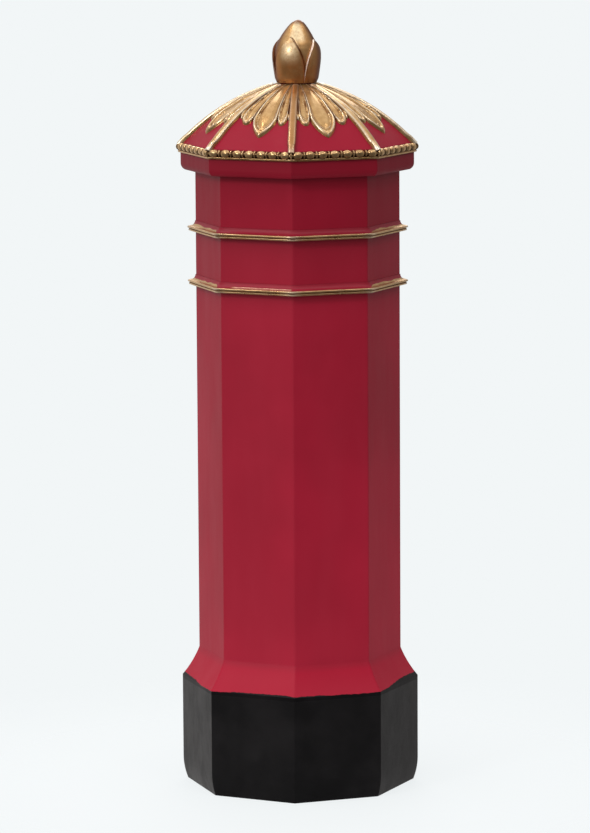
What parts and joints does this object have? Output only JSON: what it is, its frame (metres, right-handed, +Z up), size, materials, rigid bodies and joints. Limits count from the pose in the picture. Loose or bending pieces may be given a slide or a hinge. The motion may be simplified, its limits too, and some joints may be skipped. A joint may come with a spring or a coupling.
{
  "type": "pillar mailbox",
  "caption": "Eight-sided cast-iron pillar mailbox with a domed leafed roof, bud finial, gilt mouldings, hinged door with lock, posting slot and lifting mail guard.",
  "frame": {"origin": "centre of the plinth's underside, on the ground", "axes": "+Z up the pillar; -Y towards the front with the posting slot and door; +X towards the door's hinge side"},
  "size_m": [0.4826, 0.4826, 1.65],
  "materials": {
    "red_paint": "satin brushed enamel",
    "ring_paint": "hand-painted red with a gilt edge",
    "black_paint": "satin brushed black",
    "gold_paint": "dull gilt",
    "steel": "plain",
    "grey_steel": "grey primer",
    "lock_iron": "blackened",
    "brass": "tarnished",
    "cream_enamel": "vitreous enamel",
    "white_enamel": "vitreous enamel",
    "wire": "galvanised"
  },
  "bodies": {
    "pillar": {"plinth": "black_paint", "floor_plate": "steel", "floor_screws": "steel", "base_bolts": "steel", "base_nuts": "steel", "column": "red_paint", "lower_ring": "ring_paint", "upper_ring": "ring_paint", "head": "red_paint", "head_bolts": "steel", "head_nuts": "steel", "cornice": "red_paint", "cornice_bolts": "steel", "cornice_nuts": "steel", "bead_moulding": "gold_paint", "roof": "red_paint", "roof_bolts": "steel", "roof_nuts": "steel", "roof_ribs": "gold_paint", "acanthus_leaves": "gold_paint", "finial_bud": "gold_paint", "finial_stud": "steel", "finial_nut": "steel", "slot_hood": "red_paint", "slot_screws": "steel", "chute": "grey_steel", "flap_rod": "grey_steel", "door_stop_frame": "grey_steel", "frame_screws": "steel", "keeper": "grey_steel", "hinge_brackets": "red_paint", "hinge_pins": "steel", "hinge_screws": "red_paint", "guard_channels": "grey_steel", "channel_screws": "steel"},
    "door": {"door": "red_paint", "door_hinge_lugs": "red_paint", "door_hinge_screws": "red_paint", "lock_case": "lock_iron", "lock_cap": "lock_iron", "lock_screws": "steel", "escutcheon": "brass", "escutcheon_screws": "brass", "cover_pivot": "brass", "notice_frame": "red_paint", "notice_plate": "cream_enamel", "notice_screws": "red_paint", "tablet_holder": "red_paint", "holder_screws": "red_paint"},
    "lock_bolt": {"lock_bolt": "brass"},
    "lock_barrel": {"lock_barrel": "brass"},
    "keyhole_cover": {"keyhole_cover": "brass"},
    "number_tablet": {"number_tablet": "white_enamel"},
    "letter_flap": {"letter_flap": "grey_steel"},
    "mail_guard": {"mail_guard": "wire", "guard_handle": "wire"}
  },
  "joints": [
    {"name": "door_swing", "type": "hinge", "parent": "pillar", "child": "door", "pos_m": [0.19942, -0.09092, 0.69], "axis": [0, 0, 1], "range_deg": [0, 115]},
    {"name": "key_turn", "type": "hinge", "parent": "door", "child": "lock_barrel", "pos_m": [-0.14496, -0.13081, 0.76], "axis": [-0.7071, -0.7071, 0], "range_deg": [0, 180]},
    {"name": "bolt_slide", "type": "slide", "parent": "door", "child": "lock_bolt", "axis": [-0.7071, 0.7071, 0], "range_m": [0, 0.016]},
    {"name": "cover_swing", "type": "hinge", "parent": "door", "child": "keyhole_cover", "pos_m": [-0.15274, -0.13859, 0.788], "axis": [-0.7071, -0.7071, 0], "range_deg": [-80, 80]},
    {"name": "tablet_slide", "type": "slide", "parent": "door", "child": "number_tablet", "axis": [0, 0, 1], "range_m": [0, 0.04]},
    {"name": "flap_swing", "type": "hinge", "parent": "pillar", "child": "letter_flap", "pos_m": [0, -0.183, 1.3], "axis": [1, 0, 0], "range_deg": [0, 70]},
    {"name": "guard_lift", "type": "slide", "parent": "pillar", "child": "mail_guard", "axis": [0, 0, 1], "range_m": [0, 0.22]}
  ],
  "couplings": [
    {"joint": "bolt_slide", "follows": "key_turn", "m_per_rad": 0.00509}
  ]
}
